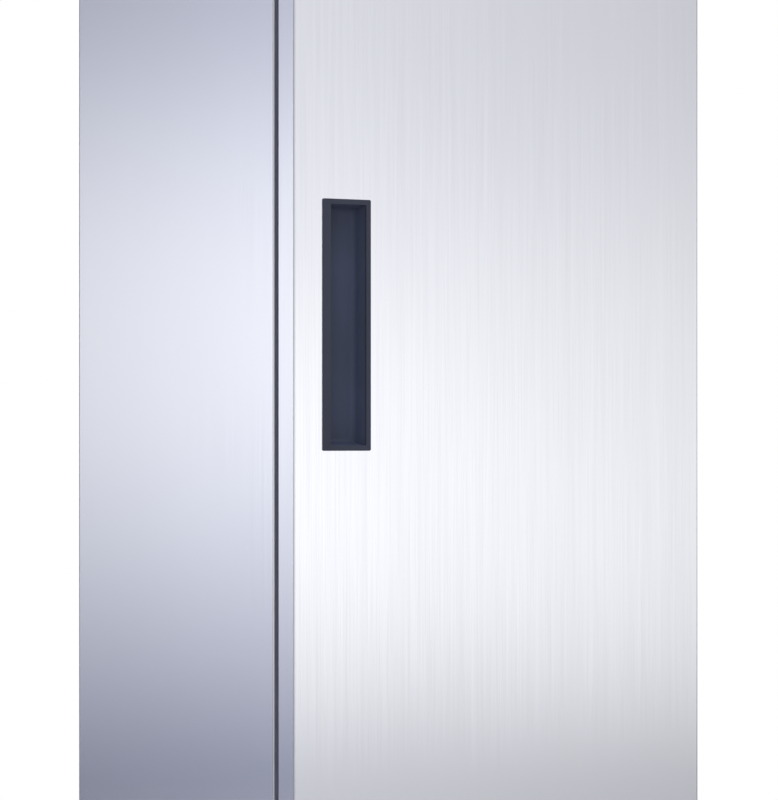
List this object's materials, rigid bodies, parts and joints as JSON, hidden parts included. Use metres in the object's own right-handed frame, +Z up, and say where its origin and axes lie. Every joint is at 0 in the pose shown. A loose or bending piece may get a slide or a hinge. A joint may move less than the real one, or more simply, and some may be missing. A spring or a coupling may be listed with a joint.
{
  "type": "upright freezer",
  "caption": "Tall one-section upright freezer in brushed stainless steel: solid hinged door with a black recessed handle, wire shelves, top machinery behind a louvered grille, swivel casters.",
  "frame": {"origin": "centre of the footprint, on the floor under the wheels", "axes": "+X towards the door's hinge side (the viewer's right), +Y to the back, +Z up; the door faces -Y"},
  "size_m": [0.686, 0.814, 2.083],
  "materials": {
    "stainless": "fine upright brushing, satin",
    "galvanised_steel": "galvanised, matt",
    "insulation_foam": "rigid polyurethane foam, hidden",
    "liner_aluminium": "mill finish, satin",
    "breaker_plastic": "moulded, matt",
    "door_liner_plastic": "formed sheet, matt",
    "gasket_rubber": "soft, matt",
    "handle_plastic": "moulded, fine matt grain",
    "nylon": "moulded, matt",
    "hinge_steel": "plated, satin",
    "pilaster_aluminium": "satin",
    "clip_steel": "plated, satin",
    "shelf_coating": "dipped coating, smooth",
    "coil_aluminium": "raw fins",
    "motor_paint": "satin",
    "fan_plastic": "moulded, matt",
    "fan_aluminium": "pressed, satin",
    "guard_steel": "dipped coating, smooth",
    "lamp_cover": "frosted",
    "compressor_paint": "semi-gloss",
    "shroud_steel": "satin",
    "copper": "drawn copper tube, slightly dull",
    "box_paint": "satin",
    "inlet_plastic": "moulded, matt",
    "bezel_plastic": "moulded, matt",
    "window_plastic": "dark tinted, glossy",
    "key_plastic": "moulded, matt",
    "switch_plastic": "moulded, matt",
    "caster_steel": "zinc plated",
    "wheel_tread": "matt tread",
    "pedal_steel": "satin"
  },
  "bodies": {
    "cabinet": {"side_panel_left": "stainless", "side_panel_right": "stainless", "face_frame": "stainless", "top_rail": "stainless", "back_panel": "galvanised_steel", "deck_panel": "galvanised_steel", "floor_panel": "galvanised_steel", "base_rails": "galvanised_steel", "unit_base_plate": "galvanised_steel", "cabinet_foam": "insulation_foam", "inner_liner": "liner_aluminium", "evaporator_cover": "liner_aluminium", "breaker_strips": "breaker_plastic", "top_hinge_bracket": "hinge_steel", "bottom_hinge_bracket": "hinge_steel", "mounting_bolts": "hinge_steel", "shelf_pilasters": "pilaster_aluminium", "shelf_clips": "clip_steel", "shelf_lower": "shelf_coating", "shelf_middle": "shelf_coating", "shelf_upper": "shelf_coating", "evaporator_coil": "coil_aluminium", "condenser_coil": "coil_aluminium", "evaporator_fan_motor": "motor_paint", "condenser_fan_motor": "motor_paint", "evaporator_fan_guard": "guard_steel", "interior_lamp": "lamp_cover", "compressor": "compressor_paint", "condenser_shroud": "shroud_steel", "filter_drier": "copper", "refrigerant_lines": "copper", "electrical_box": "box_paint", "power_inlet": "inlet_plastic", "caster_plates": "caster_steel"},
    "door": {"door_pan": "stainless", "door_foam": "insulation_foam", "door_inner_panel": "door_liner_plastic", "door_gasket": "gasket_rubber", "handle_recess": "handle_plastic", "hinge_bushings": "nylon", "hinge_cartridge": "hinge_steel"},
    "grille": {"front_grille": "stainless", "controller_bezel": "bezel_plastic", "display_window": "window_plastic"},
    "down_key": {"down_button": "key_plastic"},
    "up_key": {"up_button": "key_plastic"},
    "set_key": {"set_button": "key_plastic"},
    "rocker": {"power_switch": "switch_plastic"},
    "evaporator_fan": {"evaporator_fan_blade": "fan_plastic"},
    "condenser_fan": {"condenser_fan_blade": "fan_aluminium"},
    "caster_front_left": {"caster_fork_front_left": "caster_steel"},
    "wheel_front_left": {"caster_wheel_front_left": "wheel_tread"},
    "caster_front_right": {"caster_fork_front_right": "caster_steel"},
    "wheel_front_right": {"caster_wheel_front_right": "wheel_tread"},
    "caster_rear_left": {"caster_fork_rear_left": "caster_steel"},
    "wheel_rear_left": {"caster_wheel_rear_left": "wheel_tread"},
    "caster_rear_right": {"caster_fork_rear_right": "caster_steel"},
    "wheel_rear_right": {"caster_wheel_rear_right": "wheel_tread"},
    "pedal_front_left": {"brake_pedal_front_left": "pedal_steel"},
    "pedal_front_right": {"brake_pedal_front_right": "pedal_steel"}
  },
  "joints": [
    {"name": "door_hinge", "type": "hinge", "parent": "cabinet", "child": "door", "pos_m": [0.327, -0.3715, 0.983], "axis": [0, 0, 1], "range_deg": [0, 120], "stiffness_Nm_per_rad": 1.5, "springref_deg": -11.46},
    {"name": "grille_hinge", "type": "hinge", "parent": "cabinet", "child": "grille", "pos_m": [0, -0.347, 2.073], "axis": [-1, 0, 0], "range_deg": [0, 90]},
    {"name": "evaporator_fan_spin", "type": "hinge", "parent": "cabinet", "child": "evaporator_fan", "pos_m": [0, 0.0772, 1.625], "axis": [0, -1, 0], "continuous": true},
    {"name": "condenser_fan_spin", "type": "hinge", "parent": "cabinet", "child": "condenser_fan", "pos_m": [-0.09, -0.185, 1.913], "axis": [0, 1, 0], "continuous": true},
    {"name": "down_press", "type": "slide", "parent": "grille", "child": "down_key", "axis": [0, 1, 0], "range_m": [0, 0.0008], "stiffness_N_per_m": 400, "springref_m": -0.001},
    {"name": "up_press", "type": "slide", "parent": "grille", "child": "up_key", "axis": [0, 1, 0], "range_m": [0, 0.0008], "stiffness_N_per_m": 400, "springref_m": -0.001},
    {"name": "set_press", "type": "slide", "parent": "grille", "child": "set_key", "axis": [0, 1, 0], "range_m": [0, 0.0008], "stiffness_N_per_m": 400, "springref_m": -0.001},
    {"name": "power_rock", "type": "hinge", "parent": "grille", "child": "rocker", "pos_m": [0.289, -0.3981, 1.83], "axis": [-1, 0, 0], "range_deg": [0, 18]},
    {"name": "swivel_front_left", "type": "hinge", "parent": "cabinet", "child": "caster_front_left", "pos_m": [-0.278, -0.281, 0.14], "axis": [0, 0, 1], "continuous": true},
    {"name": "spin_front_left", "type": "hinge", "parent": "caster_front_left", "child": "wheel_front_left", "pos_m": [-0.278, -0.317, 0.0625], "axis": [1, 0, 0], "continuous": true},
    {"name": "swivel_front_right", "type": "hinge", "parent": "cabinet", "child": "caster_front_right", "pos_m": [0.278, -0.281, 0.14], "axis": [0, 0, 1], "continuous": true},
    {"name": "spin_front_right", "type": "hinge", "parent": "caster_front_right", "child": "wheel_front_right", "pos_m": [0.278, -0.317, 0.0625], "axis": [1, 0, 0], "continuous": true},
    {"name": "swivel_rear_left", "type": "hinge", "parent": "cabinet", "child": "caster_rear_left", "pos_m": [-0.278, 0.35, 0.14], "axis": [0, 0, 1], "continuous": true},
    {"name": "spin_rear_left", "type": "hinge", "parent": "caster_rear_left", "child": "wheel_rear_left", "pos_m": [-0.278, 0.314, 0.0625], "axis": [1, 0, 0], "continuous": true},
    {"name": "swivel_rear_right", "type": "hinge", "parent": "cabinet", "child": "caster_rear_right", "pos_m": [0.278, 0.35, 0.14], "axis": [0, 0, 1], "continuous": true},
    {"name": "spin_rear_right", "type": "hinge", "parent": "caster_rear_right", "child": "wheel_rear_right", "pos_m": [0.278, 0.314, 0.0625], "axis": [1, 0, 0], "continuous": true},
    {"name": "brake_front_left", "type": "hinge", "parent": "caster_front_left", "child": "pedal_front_left", "pos_m": [-0.278, -0.347, 0.1265], "axis": [1, 0, 0], "range_deg": [0, 20]},
    {"name": "brake_front_right", "type": "hinge", "parent": "caster_front_right", "child": "pedal_front_right", "pos_m": [0.278, -0.347, 0.1265], "axis": [1, 0, 0], "range_deg": [0, 20]}
  ]
}
